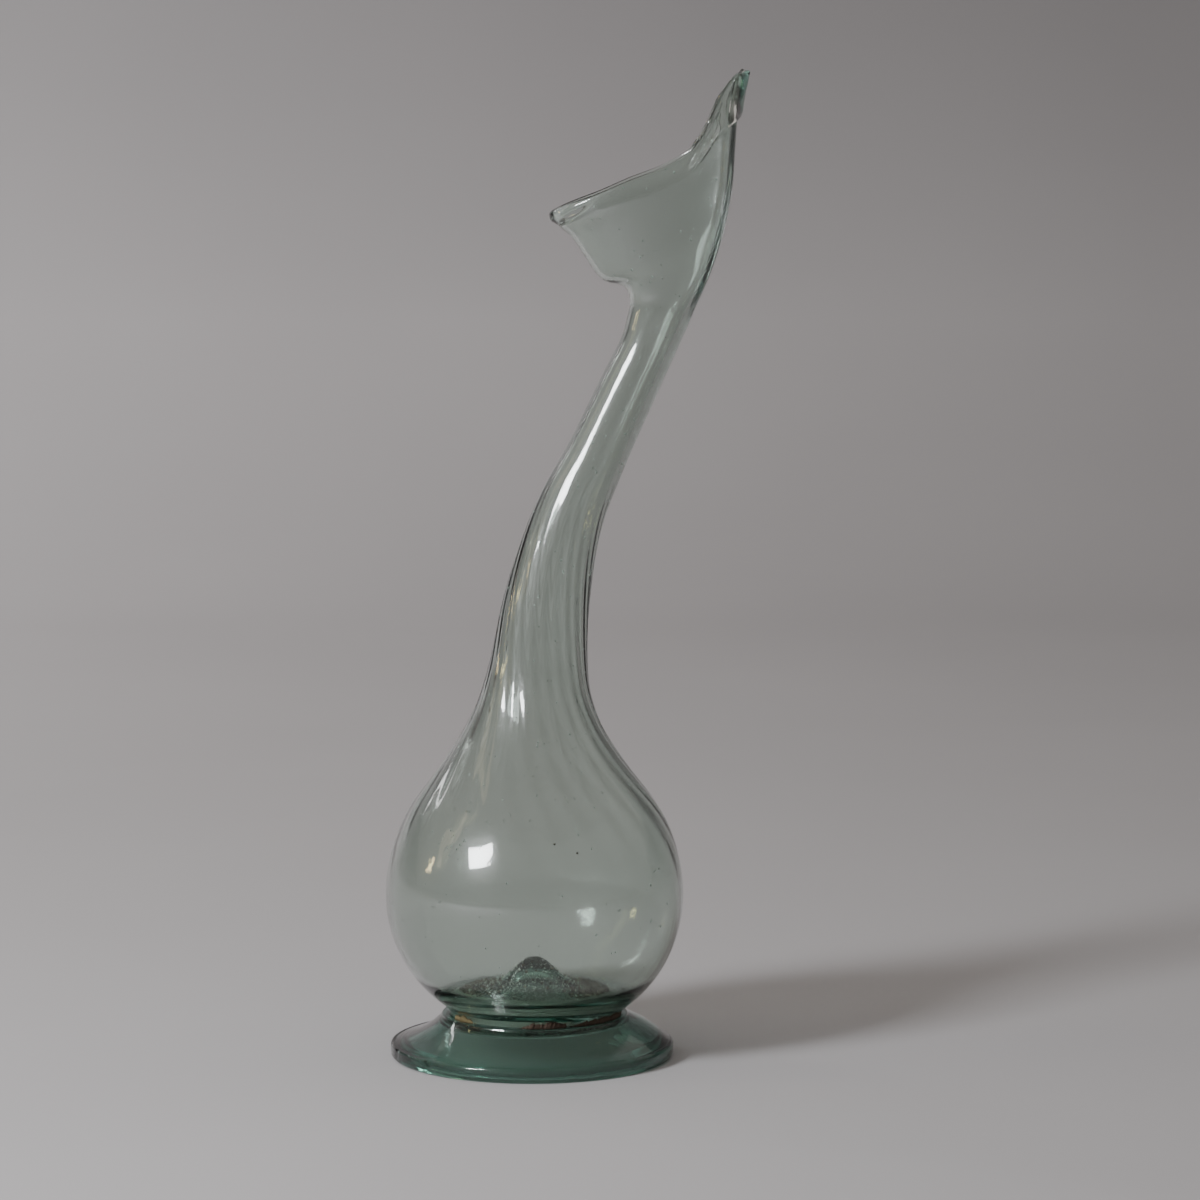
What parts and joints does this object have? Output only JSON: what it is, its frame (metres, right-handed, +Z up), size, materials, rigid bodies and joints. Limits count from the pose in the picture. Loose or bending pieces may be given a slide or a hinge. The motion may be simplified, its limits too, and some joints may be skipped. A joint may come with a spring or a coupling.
{
  "type": "perfume sprinkler",
  "caption": "Blown glass rosewater sprinkler: a hollow bulb on a spread foot, with a swan neck and a flared leaf-shaped mouth.",
  "frame": {"origin": "middle of the sprinkler's footprint seen from above, at the plane that the foot rests on", "axes": "+Z up along the height; the neck leans toward +X, and the mouth opens up and toward -X"},
  "size_m": [0.1248, 0.1028, 0.34],
  "materials": {
    "thin_glass": "clear pale green blown glass, seedy, with faint twisted ribs and a slight iridescent bloom",
    "thick_glass": "clear green glass, dark teal where it is thick, with small chips along the rim",
    "residue": "dry brown earthy crust"
  },
  "bodies": {
    "root": {"bottle": "thin_glass", "foot": "thick_glass"}
  },
  "joints": []
}
